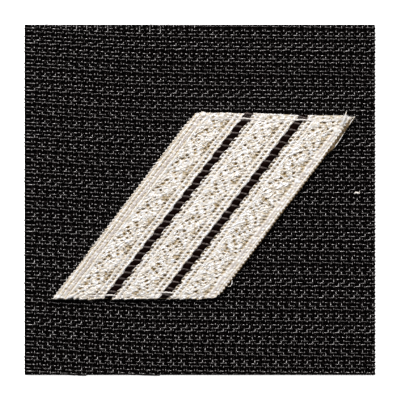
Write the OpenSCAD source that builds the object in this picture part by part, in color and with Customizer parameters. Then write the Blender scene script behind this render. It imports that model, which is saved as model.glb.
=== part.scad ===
// Rank patch: a square of ribbed black cloth with a striped woven braid sewn across it.
// The patch lies on its back. X runs to the right, Y to its top and Z out of its front.

/* [Cloth] */
// Width of the cloth square
cloth_w = 50; // [42:1:60]
// Height of the cloth square
cloth_h = 50; // [42:1:60]
// Thickness of the cloth in the bottom of its furrows
cloth_t = 0.95; // [0.9:0.05:1.5]
// Number of cloth ribs from top to bottom, one for each pair of weft threads
rib_count = 89; // [60:1:110]
// Height of a rib above its furrow
rib_rise = 0.15; // [0.05:0.05:0.25]
// Part of the rib pitch that the flat top of a rib takes
rib_top_share = 0.4; // [0.2:0.05:0.6]
// Angle that the ribs fall towards the right, in degrees
rib_fall = 1.5; // [0:0.5:4]

/* [Braid] */
// Angle of the stripes from the cloth's lower edge, in degrees
braid_angle = 52.5; // [45:0.5:65]
// Middle of the braid to the right of the cloth's middle
braid_x = 0.6; // [-2:0.1:2]
// Height of the middle of the braid above the cloth's middle
braid_y = -0.9; // [-2:0.1:2]
// Height of the upper cut end above the middle of the braid
cut_above = 13.2; // [8:0.1:16]
// Depth of the lower cut end below the middle of the braid
cut_below = 13.2; // [8:0.1:16]
// Angle that the upper cut end falls towards the right, in degrees
cut_fall = 1.9; // [0:0.1:4]
// Thickness of the braid's woven ground
ground_t = 0.55; // [0.4:0.05:0.8]
// Slit left between a stripe and the black band beside it
slit = 0.02; // [0.01:0.01:0.05]

/* [Stripes] */
// Width of the left silver stripe
stripe_left_w = 5.7; // [4:0.05:7]
// Width of the middle silver stripe
stripe_middle_w = 5.15; // [4:0.05:7]
// Width of the right silver stripe
stripe_right_w = 5.35; // [4:0.05:7]
// Radius of the white cords beside the black bands
cord_r = 0.17; // [0.1:0.01:0.2]
// Radius of the cord along each outer edge of the braid
edge_cord_r = 0.24; // [0.15:0.01:0.28]
// Half the width of the flat strip inside each edge cord
edge_strip_r = 0.22; // [0.1:0.01:0.25]
// Height of the cords' centre lines above the braid's underside
cord_z = 0.52; // [0.4:0.01:0.7]

/* [Zigzag] */
// Length of one repeat of the zigzag along a stripe
zigzag_repeat = 4.55; // [3:0.05:6]
// Part of a repeat that the flatter leg of the zigzag takes
zigzag_flat_share = 0.37; // [0.3:0.01:0.5]
// Width that the zigzag swings across a stripe
zigzag_swing = 1.2; // [0.8:0.05:1.3]
// Width of the raised zigzag line, measured across the stripe
zigzag_line = 0.6; // [0.3:0.05:0.7]
// Height of the zigzag line above the ground
zigzag_rise = 0.16; // [0.05:0.01:0.25]
// Height of the left stripe's first left turn above the braid's middle, along the stripe
zigzag_left_shift = 0.8; // [0:0.1:4.5]
// The same for the middle stripe
zigzag_middle_shift = 4.4; // [0:0.1:4.5]
// The same for the right stripe
zigzag_right_shift = 3; // [0:0.1:4.5]

/* [Black bands] */
// Width of the left black band
band_left_w = 1.15; // [0.8:0.05:1.5]
// Width of the right black band
band_right_w = 1.05; // [0.8:0.05:1.5]
// Distance from one binding thread over a band to the next
bind_pitch = 1.14; // [0.9:0.01:1.5]
// Height of the left band's first pad above the braid's middle, along the band
bind_left_shift = 0.07; // [0:0.01:1.1]
// The same for the right band
bind_right_shift = 0.88; // [0:0.01:1.1]
// Angle that the binding threads rise across a band, in degrees
bind_slant = 27; // [0:1:40]
// Thickness of a band where a binding thread presses it down
band_low_t = 0.42; // [0.3:0.01:0.5]
// Thickness of a band midway between two binding threads
band_high_t = 0.72; // [0.55:0.01:0.9]

/* [Hidden] */
$fn = 32;

cloth_top = cloth_t + rib_rise;
rib_pitch = cloth_h / rib_count;
// The turned sheet of ribs reaches past the square all round, by this much
overreach = 4;
rib_length = cloth_w + 2 * overreach;
rib_rows = ceil((cloth_h + 2 * overreach) / rib_pitch);
rib_ramp = rib_pitch * (1 - rib_top_share) / 3;

braid_w = stripe_left_w + band_left_w + stripe_middle_w + band_right_w + stripe_right_w;
// Half the length that each piece of the braid has before its ends are cut
half_run = (cut_above + cut_below) / sin(braid_angle) / 2 + braid_w;

// Places across the braid, counted from its left edge
band_left_u = stripe_left_w;
stripe_middle_u = band_left_u + band_left_w;
band_right_u = stripe_middle_u + stripe_middle_w;
stripe_right_u = band_right_u + band_right_w;

// Each cord is a row: its distance from the stripe's left side, and its radius
left_cords = [
    [edge_cord_r + 0.02, edge_cord_r],
    [0.93, edge_strip_r],
    [1.75, 0.2],
    [stripe_left_w - 0.85, cord_r],
    [stripe_left_w - 0.23, cord_r]
];
middle_cords = [
    [0.32, cord_r],
    [1.0, cord_r],
    [stripe_middle_w - 1.0, cord_r],
    [stripe_middle_w - 0.26, cord_r]
];
right_cords = [
    [0.5, cord_r],
    [1.15, cord_r],
    [stripe_right_w - 0.97, edge_strip_r],
    [stripe_right_w - edge_cord_r - 0.02, edge_cord_r]
];

// The middle of the zigzag, counted from each stripe's left side
left_zigzag_u = 3.1;
middle_zigzag_u = 2.45;
right_zigzag_u = 2.65;

// Outline of the ribbed top and the flat back, seen along the ribs
function rib_row(i) = let (y = i * rib_pitch) [
    [y, cloth_t],
    [y + rib_ramp, cloth_t],
    [y + 2 * rib_ramp, cloth_top],
    [y + 2 * rib_ramp + rib_pitch * rib_top_share, cloth_top]
];
function rib_outline() = concat(
    [[rib_rows * rib_pitch, 0], [0, 0]],
    [for (i = [0 : rib_rows - 1]) each rib_row(i)],
    [[rib_rows * rib_pitch, cloth_t]]
);

// Turning points of the zigzag: even ones on its left, odd ones on its right
zigzag_turns = 2 * ceil(half_run / zigzag_repeat);
function zigzag_u(i) = (i % 2 == 0 ? -0.5 : 0.5) * zigzag_swing - zigzag_line / 2;
function zigzag_v(i) = floor(i / 2) * zigzag_repeat
    + (i % 2 == 0 ? 0 : (1 - zigzag_flat_share) * zigzag_repeat);

// Lays a piece drawn from the middle of the braid's left edge, with its length along Y
module on_cloth() {
    translate([braid_x, braid_y, cloth_top])
        rotate([0, 0, braid_angle - 90])
            translate([-braid_w / 2, 0, 0])
                children();
}

// The room between the two cut ends of the braid
module between_cuts() {
    translate([braid_x, braid_y, 0])
        linear_extrude(cloth_top + 2 * ground_t + zigzag_rise)
            polygon([
                [-cloth_w, -cut_below],
                [cloth_w, -cut_below],
                [cloth_w, cut_above - cloth_w * tan(cut_fall)],
                [-cloth_w, cut_above + cloth_w * tan(cut_fall)]
            ]);
}

// Round cords that run the whole length of a stripe
module cords(rows) {
    for (row = rows)
        translate([row[0], -half_run, cord_z])
            rotate([-90, 0, 0])
                cylinder(h = 2 * half_run, r = row[1]);
}

// The raised zigzag line, drawn about its own middle
module zigzag() {
    linear_extrude(ground_t + zigzag_rise)
        polygon(concat(
            [for (i = [-zigzag_turns : zigzag_turns]) [zigzag_u(i), zigzag_v(i)]],
            [for (i = [zigzag_turns : -1 : -zigzag_turns]) [zigzag_u(i) + zigzag_line, zigzag_v(i)]]
        ));
}

// One silver stripe: its ground, its cords and its zigzag, cut at both ends. The edge cords
// stand side_left and side_right past the ground.
module stripe(start, width, cord_rows, zigzag_place, side_left, side_right) {
    intersection() {
        on_cloth()
            translate([start, 0, 0])
                union() {
                    translate([side_left, -half_run, 0])
                        cube([width - side_left - side_right, 2 * half_run, ground_t]);
                    cords(cord_rows);
                    translate(zigzag_place)
                        zigzag();
                }
        between_cuts();
    }
}

// One black band: a strip of slanted pads with a dip at each binding thread
module band(start, width, shift) {
    pad_rise = band_high_t - band_low_t;
    pad_chord = bind_pitch * cos(bind_slant);
    pad_r = pad_chord * pad_chord / (8 * pad_rise) + pad_rise / 2;
    pads = ceil(half_run / bind_pitch);
    intersection() {
        on_cloth()
            translate([start + slit, 0, 0])
                intersection() {
                    translate([0, -half_run, 0])
                        cube([width - 2 * slit, 2 * half_run, band_high_t]);
                    union() {
                        translate([0, -half_run, 0])
                            cube([width - 2 * slit, 2 * half_run, band_low_t]);
                        for (i = [-pads : pads])
                            translate([0, shift + i * bind_pitch, band_high_t - pad_r])
                                rotate([0, 0, bind_slant])
                                    translate([-width, 0, 0])
                                        rotate([0, 90, 0])
                                            cylinder(h = 3 * width, r = pad_r);
                    }
                }
        between_cuts();
    }
}

module backing_cloth() {
    color("#1c1b1b")
        intersection() {
            rotate([0, 0, -rib_fall])
                translate([-rib_length / 2, -rib_rows * rib_pitch / 2, 0])
                    rotate([90, 0, 90])
                        linear_extrude(rib_length)
                            polygon(rib_outline());
            translate([-cloth_w / 2, -cloth_h / 2, 0])
                cube([cloth_w, cloth_h, cloth_top]);
        }
}

module stripe_left() {
    color("#d9d1c6")
        stripe(0, stripe_left_w, left_cords, [left_zigzag_u, zigzag_left_shift, 0], edge_cord_r, 0);
}

module band_left() {
    color("#241d1b")
        band(band_left_u, band_left_w, bind_left_shift);
}

module stripe_middle() {
    color("#d9d1c6")
        stripe(stripe_middle_u, stripe_middle_w, middle_cords,
            [middle_zigzag_u, zigzag_middle_shift, 0], 0, 0);
}

module band_right() {
    color("#241d1b")
        band(band_right_u, band_right_w, bind_right_shift);
}

module stripe_right() {
    color("#d9d1c6")
        stripe(stripe_right_u, stripe_right_w, right_cords,
            [right_zigzag_u, zigzag_right_shift, 0], 0, edge_cord_r);
}

backing_cloth();
stripe_left();
band_left();
stripe_middle();
band_right();
stripe_right();
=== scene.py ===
import math

import bpy
import numpy as np
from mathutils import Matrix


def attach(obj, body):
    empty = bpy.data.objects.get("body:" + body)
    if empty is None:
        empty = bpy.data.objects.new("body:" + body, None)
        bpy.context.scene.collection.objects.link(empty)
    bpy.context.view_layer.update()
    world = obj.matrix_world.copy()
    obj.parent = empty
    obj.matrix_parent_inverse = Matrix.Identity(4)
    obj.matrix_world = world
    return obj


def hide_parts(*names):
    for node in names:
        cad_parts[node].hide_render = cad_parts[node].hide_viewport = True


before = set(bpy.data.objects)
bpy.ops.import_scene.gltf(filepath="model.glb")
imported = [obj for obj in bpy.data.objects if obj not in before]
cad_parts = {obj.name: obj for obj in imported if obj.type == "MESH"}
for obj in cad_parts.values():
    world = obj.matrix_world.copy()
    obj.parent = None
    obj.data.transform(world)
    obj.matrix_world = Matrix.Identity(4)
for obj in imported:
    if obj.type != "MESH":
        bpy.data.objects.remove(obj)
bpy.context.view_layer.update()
mm = 0.001
rng = np.random.default_rng(11)

# Lengths below are in millimetres, and meshes are scaled by mm as they are made.
print("frame loaded:", sorted(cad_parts))

photo = {
    "width": 57.08,  # what the picture takes in, left to right
    "level": 1.0,  # at this height above the floor
    "lens": 300.0,
    "sensor": 36.0,
}


def addCamera(spec):
    # height = level + picture width * lens / sensor
    data = bpy.data.cameras.new("photoCamera")
    data.lens = spec["lens"]
    data.sensor_width = spec["sensor"]
    camera = bpy.data.objects.new("photoCamera", data)
    camera.location = (0, 0, (spec["width"] * spec["lens"] / spec["sensor"] + spec["level"]) * mm)
    bpy.context.collection.objects.link(camera)
    bpy.context.scene.camera = camera


addCamera(photo)


# Shapes

def smoothNoise(where, every, size):
    # value = smoothstep blend of normal(0, size) knots that lie every so many millimetres
    place = (where - np.min(where)) / every
    knots = rng.normal(0, size, int(np.max(place)) + 3)
    low = np.floor(place).astype(int)
    t = place - low
    t = t * t * (3 - 2 * t)
    return knots[low] * (1 - t) + knots[low + 1] * t


def smoothField(across, along, every, size):
    # the same on two parameters: a smoothstep blend of the four knots round each point
    p = (across - across.min()) / every
    q = (along - along.min()) / every
    knots = rng.normal(0, size, (int(q.max()) + 3, int(p.max()) + 3))
    i, j = np.floor(q).astype(int), np.floor(p).astype(int)
    s, t = q - i, p - j
    s, t = s * s * (3 - 2 * s), t * t * (3 - 2 * t)
    low = knots[i, j] * (1 - t) + knots[i, j + 1] * t
    high = knots[i + 1, j] * (1 - t) + knots[i + 1, j + 1] * t
    return low * (1 - s) + high * s


def asQuads(a, b, c, d):
    # one four-sided face from each four corner numbers
    return np.stack([a, b, c, d], axis=-1).reshape(-1, 4)


def tube(path, rSide, rUp, sides):
    # point(s, a) = path(s) + rSide cos(a) side + rUp sin(a) up,
    # with side = z x tangent and up = tangent x side
    tangent = np.gradient(path, axis=0)
    tangent /= np.linalg.norm(tangent, axis=1, keepdims=True)
    side = np.cross([0.0, 0.0, 1.0], tangent)
    side /= np.linalg.norm(side, axis=1, keepdims=True)
    up = np.cross(tangent, side)
    a = np.linspace(0, 2 * math.pi, sides, endpoint=False) + math.pi / 2
    rSide = np.broadcast_to(rSide, len(path))[:, None, None]
    rUp = np.broadcast_to(rUp, len(path))[:, None, None]
    ring = (path[:, None] + rSide * np.cos(a)[:, None] * side[:, None]
            + rUp * np.sin(a)[:, None] * up[:, None])
    i = np.arange(len(path) - 1)[:, None] * sides
    j = np.arange(sides)[None]
    k = (j + 1) % sides
    quads = asQuads(i + j, i + k, i + sides + k, i + sides + j)
    # the map goes once around, and along in millimetres
    length = np.concatenate([[0], np.cumsum(np.linalg.norm(np.diff(path, axis=0), axis=1))])
    around = np.stack([j, j + 1, j + 1, j], axis=-1) / sides
    around = np.broadcast_to(around, (len(path) - 1, sides, 4))
    run = np.stack([length[:-1], length[:-1], length[1:], length[1:]], axis=-1)
    run = np.broadcast_to(run[:, None], around.shape)
    uv = np.stack([around, run], axis=-1).reshape(-1, 4, 2)
    ends = np.arange(sides)
    caps = np.stack([ends[::-1], (len(path) - 1) * sides + ends])
    return {"points": ring.reshape(-1, 3), "faces": [quads, caps],
            "uvs": [uv, np.zeros((2, sides, 2))]}


def pad(top, bottom, uv, hollow):
    # a closed piece: the grid top(i, j) above, a flat underside at z = bottom, and walls between
    rows, columns = top.shape[:2]
    number = np.arange(rows * columns).reshape(rows, columns)
    left, right = top[:, 0].copy(), top[:, -1].copy()
    left[:, 2] = right[:, 2] = bottom
    leftFoot = rows * columns + np.arange(rows)
    rightFoot = leftFoot + rows
    quads = [
        asQuads(number[:-1, :-1], number[:-1, 1:], number[1:, 1:], number[1:, :-1]),
        asQuads(number[:-1, 0], number[1:, 0], leftFoot[1:], leftFoot[:-1]),
        asQuads(rightFoot[:-1], rightFoot[1:], number[1:, -1], number[:-1, -1]),
        asQuads(leftFoot[:-1], leftFoot[1:], rightFoot[1:], rightFoot[:-1]),
    ]
    ends = [
        np.concatenate([[leftFoot[0], rightFoot[0]], number[0, ::-1]])[None],
        np.concatenate([[rightFoot[-1], leftFoot[-1]], number[-1]])[None],
    ]
    points = np.concatenate([top.reshape(-1, 3), left, right])
    flat = np.concatenate([uv.reshape(-1, 2), uv[:, 0], uv[:, -1]])
    shade = np.concatenate([hollow.ravel(), hollow[:, 0], hollow[:, -1]])
    faces = [np.concatenate(quads)] + ends
    return {"points": points, "faces": faces, "uvs": [flat[f] for f in faces], "hollow": shade}


def curve(points, steps):
    # a Catmull-Rom curve through the points, with so many steps from one to the next
    p = np.asarray(points, float)
    spans = len(p) - 1
    p = np.concatenate([2 * p[:1] - p[1:2], p, 2 * p[-1:] - p[-2:-1]])
    t = np.linspace(0, spans, spans * steps + 1)
    i = np.minimum(t.astype(int), spans - 1)
    s = (t - i)[:, None]
    a, b, c, d = p[i], p[i + 1], p[i + 2], p[i + 3]
    return 0.5 * (2 * b + (c - a) * s + (2 * a - 5 * b + 4 * c - d) * s ** 2
                  + (3 * b - a - 3 * c + d) * s ** 3)


def joined(parts):
    # one set of points and faces from many, with the corner numbers moved on
    byCorners = {}
    start = 0
    for part in parts:
        for face, uv in zip(part["faces"], part["uvs"]):
            byCorners.setdefault(face.shape[1], []).append((face + start, uv))
        start += len(part["points"])
    return {
        "points": np.concatenate([part["points"] for part in parts]),
        "faces": [np.concatenate([f for f, _ in group]) for group in byCorners.values()],
        "uvs": [np.concatenate([u for _, u in group]) for group in byCorners.values()],
    }


creaseAngle = 70  # degrees; a sharper edge stays hard


def addPiece(name, part, material):
    # a mesh from a part's points, faces, map and painted hollow shade, riding on the patch's one body
    sizes = np.concatenate([np.full(len(f), f.shape[1]) for f in part["faces"]])
    corners = np.concatenate([f.ravel() for f in part["faces"]])
    mesh = bpy.data.meshes.new(name)
    mesh.vertices.add(len(part["points"]))
    mesh.vertices.foreach_set("co", (part["points"] * mm).ravel())
    mesh.loops.add(len(corners))
    mesh.loops.foreach_set("vertex_index", corners)
    mesh.polygons.add(len(sizes))
    mesh.polygons.foreach_set("loop_start", np.concatenate([[0], np.cumsum(sizes)[:-1]]))
    layer = mesh.uv_layers.new(name="threadMap")
    layer.data.foreach_set("uv", np.concatenate([u.reshape(-1, 2) for u in part["uvs"]]).ravel())
    if "hollow" in part:
        shade = mesh.attributes.new("hollow", "FLOAT", "POINT")
        shade.data.foreach_set("value", part["hollow"])
    mesh.update(calc_edges=True)
    mesh.validate()
    mesh.shade_smooth()
    mesh.set_sharp_from_angle(angle=math.radians(creaseAngle))
    mesh.materials.append(material)
    piece = bpy.data.objects.new(name, mesh)
    bpy.context.collection.objects.link(piece)
    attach(piece, "root")
    triangles = int((sizes - 2).sum())
    print(f"  {name}: {triangles} triangles")
    return piece


# Materials

def newGroup(name, inputs, outputs):
    group = bpy.data.node_groups.new(name, "ShaderNodeTree")
    for label, kind, value in inputs:
        socket = group.interface.new_socket(name=label, in_out="INPUT", socket_type=kind)
        socket.default_value = value
    for label, kind in outputs:
        group.interface.new_socket(name=label, in_out="OUTPUT", socket_type=kind)
    return group, group.nodes.new("NodeGroupInput").outputs, group.nodes.new("NodeGroupOutput")


def fill(tree, node, inputs):
    # each input, by name or number, gets a value or a link from another node's output
    for label, value in inputs.items():
        if isinstance(value, bpy.types.NodeSocket):
            tree.links.new(value, node.inputs[label])
        else:
            node.inputs[label].default_value = value


def addNode(tree, kind, inputs, **settings):
    node = tree.nodes.new("ShaderNode" + kind)
    for label, value in settings.items():
        setattr(node, label, value)
    fill(tree, node, inputs)
    return node.outputs


def mathNode(tree, operation, *values):
    return addNode(tree, "Math", dict(enumerate(values)), operation=operation)[0]


def mixNode(tree, factor, a, b):
    return addNode(tree, "Mix", {"Factor": factor, "A": a, "B": b}, data_type="RGBA")["Result"]


def makeTwistGroup():
    # height = half of 1 + sin(2 pi (plies * around + turns * along)), with along in millimetres,
    # + fuzz * noise
    group, given, out = newGroup(
        "twistedPlies",
        [("Plies", "NodeSocketFloat", 2.0), ("Turns", "NodeSocketFloat", 1.5),
         ("Fuzz", "NodeSocketFloat", 0.3)],
        [("Height", "NodeSocketFloat")],
    )
    place = addNode(group, "UVMap", {}, uv_map="threadMap")["UV"]
    parts = addNode(group, "SeparateXYZ", {0: place})
    around = mathNode(group, "MULTIPLY", parts["X"], given["Plies"])
    along = mathNode(group, "MULTIPLY", parts["Y"], given["Turns"])
    angle = mathNode(group, "MULTIPLY", mathNode(group, "ADD", around, along), 2 * math.pi)
    wave = mathNode(group, "MULTIPLY_ADD", mathNode(group, "SINE", angle), 0.5, 0.5)
    fibres = addNode(group, "TexNoise", {"Scale": 14.0, "Detail": 2.0, "Vector": place})["Fac"]
    fuzz = mathNode(group, "MULTIPLY", fibres, given["Fuzz"])
    fill(group, out, {"Height": mathNode(group, "ADD", wave, fuzz)})
    return group


def makeToneGroup():
    # value = noise(place * grain) from 0.35 to 0.65 spread over 0 to 1, colour = mix(dark, light, value)
    group, given, out = newGroup(
        "threadTone",
        [("Dark", "NodeSocketColor", (0, 0, 0, 1)), ("Light", "NodeSocketColor", (1, 1, 1, 1)),
         ("Grain", "NodeSocketFloat", 1.0)],
        [("Color", "NodeSocketColor"), ("Value", "NodeSocketFloat")],
    )
    place = addNode(group, "TexCoord", {})["Object"]
    place = addNode(group, "VectorMath", {0: place, "Scale": given["Grain"]}, operation="SCALE")[0]
    # a scale of 1000 makes one cell to a millimetre at a grain of 1
    noise = addNode(group, "TexNoise", {"Scale": 1000.0, "Detail": 3.0, "Vector": place})["Fac"]
    value = addNode(group, "MapRange", {"From Min": 0.35, "From Max": 0.65, "Value": noise})["Result"]
    fill(group, out, {"Color": mixNode(group, value, given["Dark"], given["Light"]), "Value": value})
    return group


def threadMaterial(name, look):
    # tone group to Base Color and Roughness, twist group through Bump to Normal
    look = {**anyThread, **look}
    material = bpy.data.materials.new(name)
    material.use_nodes = True
    tree = material.node_tree
    tone = addNode(tree, "Group", {
        "Dark": (*look["dark"], 1), "Light": (*look["light"], 1), "Grain": look["grain"],
    }, node_tree=toneGroup)
    colour = tone["Color"]
    if "hollow" in look:
        # the colour goes towards painted hollow shade above 0, and towards painted satin reflection below 0
        hollow = addNode(tree, "Attribute", {}, attribute_name="hollow")["Fac"]
        colour = mixNode(tree, hollow, colour, (*look["hollow"], 1))
        colour = mixNode(tree, mathNode(tree, "MULTIPLY", hollow, -1.0), colour, (*look["satin"], 1))
    twist = addNode(tree, "Group", {
        "Plies": look["plies"], "Turns": look["turns"], "Fuzz": look["fuzz"],
    }, node_tree=twistGroup)["Height"]
    bump = {"Strength": look["bump"], "Distance": look["bumpDepth"] * mm, "Height": twist}
    fill(tree, tree.nodes["Principled BSDF"], {
        "Base Color": colour,
        "Roughness": mathNode(tree, "MULTIPLY_ADD", tone["Value"], look["roughSpread"], look["rough"]),
        "Normal": addNode(tree, "Bump", bump)["Normal"],
        "Specular IOR Level": look["gloss"],
        "Specular Tint": (*look["tint"], 1),
    })
    return material


twistGroup = makeTwistGroup()
toneGroup = makeToneGroup()
# What a thread has unless its own look says otherwise: grain is how many patches of light and dark,
# and turns how many plies, come in a millimetre; bumpDepth is in millimetres
anyThread = {
    "grain": 2.0, "rough": 0.5, "roughSpread": 0.15, "gloss": 0.2, "tint": (1.0, 1.0, 1.0),
    "plies": 2.0, "turns": 2.0, "fuzz": 0.4, "bump": 0.5, "bumpDepth": 0.02,
}
blackYarn = threadMaterial("blackYarn", {
    "dark": (0.002, 0.0009, 0.0008), "light": (0.005, 0.0025, 0.0022), "tint": (1.0, 0.97, 0.965),
    "rough": 0.22, "roughSpread": 0.06, "gloss": 0.66, "turns": 1.6, "fuzz": 0.5, "bump": 0.2,
})
darkGround = threadMaterial("darkGround", {
    "dark": (0.0005, 0.0005, 0.0005), "light": (0.0015, 0.0015, 0.0015), "grain": 3.0,
    "rough": 0.8, "roughSpread": 0.1, "gloss": 0.05, "plies": 1.0, "fuzz": 1.0, "bump": 0.4,
    "bumpDepth": 0.05,
})
# hollow is the colour of painted shade in recesses, and satin a painted grey reflection on satin cords
silverThread = threadMaterial("silverThread", {
    "dark": (0.508, 0.458, 0.392), "light": (0.63, 0.63, 0.645), "hollow": (0.272, 0.196, 0.088),
    "satin": (0.41, 0.365, 0.34), "rough": 0.32, "gloss": 0.4,
    "plies": 0.0, "turns": 0.0, "fuzz": 1.0, "bump": 0.3, "bumpDepth": 0.03,
})
blackFloss = threadMaterial("blackFloss", {
    "dark": (0.006, 0.0018, 0.001), "light": (0.014, 0.005, 0.0035), "roughSpread": 0.1, "gloss": 0.04,
    "plies": 0.0, "turns": 0.0, "fuzz": 1.0, "bump": 0.3, "bumpDepth": 0.03,
})
bindingThread = threadMaterial("bindingThread", {
    "dark": (0.045, 0.033, 0.029), "light": (0.12, 0.098, 0.09), "rough": 0.4, "gloss": 0.25,
})
# the brown is painted shade on the braid's outer edge
fringeThread = threadMaterial("fringeThread", {
    "dark": (0.045, 0.03, 0.016), "light": (0.19, 0.14, 0.08), "grain": 3.0, "rough": 0.45, "gloss": 0.3,
    "turns": 1.5, "fuzz": 1.0, "bump": 0.6, "bumpDepth": 0.03,
})
whiteThread = threadMaterial("whiteThread", {
    "dark": (0.43, 0.40, 0.38), "light": (0.54, 0.51, 0.49), "grain": 3.0, "turns": 2.2,
})
print("materials made")


# The black cloth

cloth = {
    "half": 25.0,  # half the side of the square
    "middleZ": 0.47,  # height of the weave's middle
    "topPick": 24.06,  # height of pick 0 above the middle of the patch
    "pickAtTop": 0.5651, "pickAtBottom": 0.5530, "picks": 84,  # pitch of pick 0 and of pick 84
    "drawn": (-6, 98),  # the first pick drawn and the end of the row, past the square's edges
    "groupShift": (0.0, -0.08, -0.22),  # picks lie in threes, moved by these parts of a pitch
    "firstEnd": -24.003, "endPitch": 0.3746, "ends": 131,
    "weftSide": 0.18, "weftUp": 0.16,
    "warpSide": 0.13, "warpUp": 0.13,
    "sides": 5,  # faces round a yarn
    "warpUnder": -0.3,  # height of the warp's middle where it passes under
    "dotSwell": 1.5,  # how much thicker the warp is where it stands highest
    "arch": 0.05,  # how far the weft above a dot arches up the cloth
    "fall": 0.012, "leftFall": 0.042, "turnAt": -9.0, "turnWidth": 2.0,  # slope of the picks
    "levelAt": 6.0,  # where a pick has its nominal height
    "weftSway": (2.5, 0.02), "weftHeave": (1.2, 0.02),  # length and size of the yarns' waves
    "warpSway": (1.6, 0.022), "warpHeave": (1.2, 0.02),
    "weftStart": ((-25.05, -0.1), (-24.85, 0.03), (-24.2, 0.0)),  # across and up, at its left end
    "weftOut": 0.08, "warpOut": 0.05,  # how far the yarns stand out at the right and at the top
    "ragged": 0.06,  # how much one weft's left end differs from the next
    "hem": 0.06, "warpHem": 0.12,  # no weft, and no turn of a warp, lies this near the edge
    "fewest": 12,  # points that a weft cut by the edge has to keep
}
# Where one warp end comes to the top in twelve picks: each point is its distance down the cloth past
# that pick, in pitches, and its height above the weave's middle
warpCourse = {
    0: ((-0.42, 0.14), (-0.2, 0.3), (0.18, 0.3), (0.42, 0.1)),
    2: ((-0.8, 0.0), (0.1, 0.16), (0.4, -0.15)),
    3: ((-0.45, -0.02), (0.1, 0.14)),
    4: ((-0.13, 0.25), (0.1, 0.2)),
    6: ((-0.72, 0.0), (0.54, 0.25)),
    8: ((-0.44, 0.06), (0.5, 0.27)),
    10: ((-0.45, 0.0), (0.5, 0.15)),
}
# The weft's height where it meets an end at each place of that end's course
weftCourse = np.array([-0.08, 0.05, -0.08, 0.02, -0.08, 0.0, -0.08, 0.06, -0.08, 0.06, -0.06, 0.07])
# Each four ends start the course so many times three picks late
endStep = np.array([0, 2, 1, 3])


def ribFall(x):
    # integral of fall + leftFall / (1 + exp((x - turnAt) / turnWidth)), 0 at x = levelAt
    def whole(at):
        return cloth["fall"] * at + cloth["leftFall"] * (
            at - cloth["turnWidth"] * np.logaddexp(0, (at - cloth["turnAt"]) / cloth["turnWidth"]))
    return whole(np.asarray(x, float)) - whole(cloth["levelAt"])


def pickHeight(k):
    # y = topPick - (pickAtTop k - half the change of pitch k^2), k moved by its place in its group
    k = k + np.interp(np.mod(k, 3), [0, 1, 2, 3], [*cloth["groupShift"], 0.0])
    change = (cloth["pickAtTop"] - cloth["pickAtBottom"]) / cloth["picks"]
    return cloth["topPick"] - (cloth["pickAtTop"] * k - change * k * k / 2)


def coursePlace(k, end):
    # place = (pick - 3 * the end's step) mod 12
    return np.mod(k - 3 * endStep[np.mod(end, 4)], 12)


def makeWefts(c, picks, ends, endX):
    # y = pickHeight(k) - ribFall(x) + sway + arch, z = middle + the course's height + heave
    startX, startZ = np.array(c["weftStart"]).T
    meets = (endX[:, None] + c["endPitch"] * np.array([-0.25, 0.25])).ravel()
    yarns = []
    for k in picks:
        x = np.concatenate([startX, meets, [c["half"] + c["weftOut"]]])
        place = coursePlace(k, ends)
        arch = np.concatenate([[0, 0, 0], np.repeat(np.where(place == 11, c["arch"], 0), 2), [0]])
        y = pickHeight(k) - ribFall(x) + smoothNoise(x, *c["weftSway"]) + arch
        z = np.repeat(weftCourse[place], 2)
        z = c["middleZ"] + np.concatenate([startZ, z, [z[-1]]]) + smoothNoise(x, *c["weftHeave"])
        inside = np.abs(y) < c["half"] - c["hem"]
        if inside.sum() < c["fewest"]:
            continue
        x[0] += abs(rng.normal(0, c["ragged"]))
        path = np.stack([x, y, z], axis=1)[inside]
        yarns.append((y[inside].mean(), tube(path, c["weftSide"], c["weftUp"], c["sides"])))
    return yarns


def makeWarps(c, picks, ends, endX):
    # x = x0 + sway, y = pickHeight - ribFall(x0), z = middle + the course's height + heave,
    # with a straight stretch at both cut ends
    half, hem = c["half"], c["hem"]
    yarns = []
    for j, x0 in zip(ends, endX):
        place = coursePlace(picks, j)
        course = [(k + down, height, p) for k, p in zip(picks, place)
                  for down, height in warpCourse.get(int(p), ((0.0, c["warpUnder"]),))]
        down, height, p = np.array(course).T
        y = pickHeight(down) - ribFall(x0)
        z = c["middleZ"] + height
        inside = np.abs(y) < half - c["warpHem"]
        swell = np.where(p == 0, c["dotSwell"], 1.0)[inside][::-1]
        swell = np.concatenate([[1.0, 1.0], swell, [1.0, 1.0]])
        y = np.concatenate([[-half, hem - half], y[inside][::-1], [half - hem, half + c["warpOut"]]])
        level = [c["middleZ"]] * 2
        z = np.concatenate([level, z[inside][::-1] + smoothNoise(y[2:-2], *c["warpHeave"]), level])
        x = x0 + smoothNoise(y, *c["warpSway"])
        x[0], x[-1] = x[1], x[-2]  # so it is cut square to the edge
        path = np.stack([x, y, z], axis=1)
        yarns.append((x0, tube(path, c["warpSide"] * swell, c["warpUp"] * swell, c["sides"])))
    return yarns


def makeYarns(c):
    # each set of yarns makes two pieces, one for each half of the cloth
    picks = np.arange(*c["drawn"])
    ends = np.arange(c["ends"])
    endX = c["firstEnd"] + c["endPitch"] * ends
    wefts = makeWefts(c, picks, ends, endX)
    warps = makeWarps(c, picks, ends, endX)
    pieces = []
    for name, yarns in (("weftYarns", wefts), ("warpYarns", warps)):
        middle = np.median([place for place, _ in yarns])
        for label, side in (("A", True), ("B", False)):
            parts = [part for place, part in yarns if (place < middle) == side]
            pieces.append(addPiece(name + label, joined(parts), blackYarn))
    return pieces


clothFelt = {
    "inset": 0.02, "proud": 0.07,  # inside the square, but further out at the left and at the top
    "points": 120,
    "rise": 0.06, "wave": 0.02,  # its top above the weave's middle, and the waves on it
    "under": 0.1,  # its underside below the weave's middle
}


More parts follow.
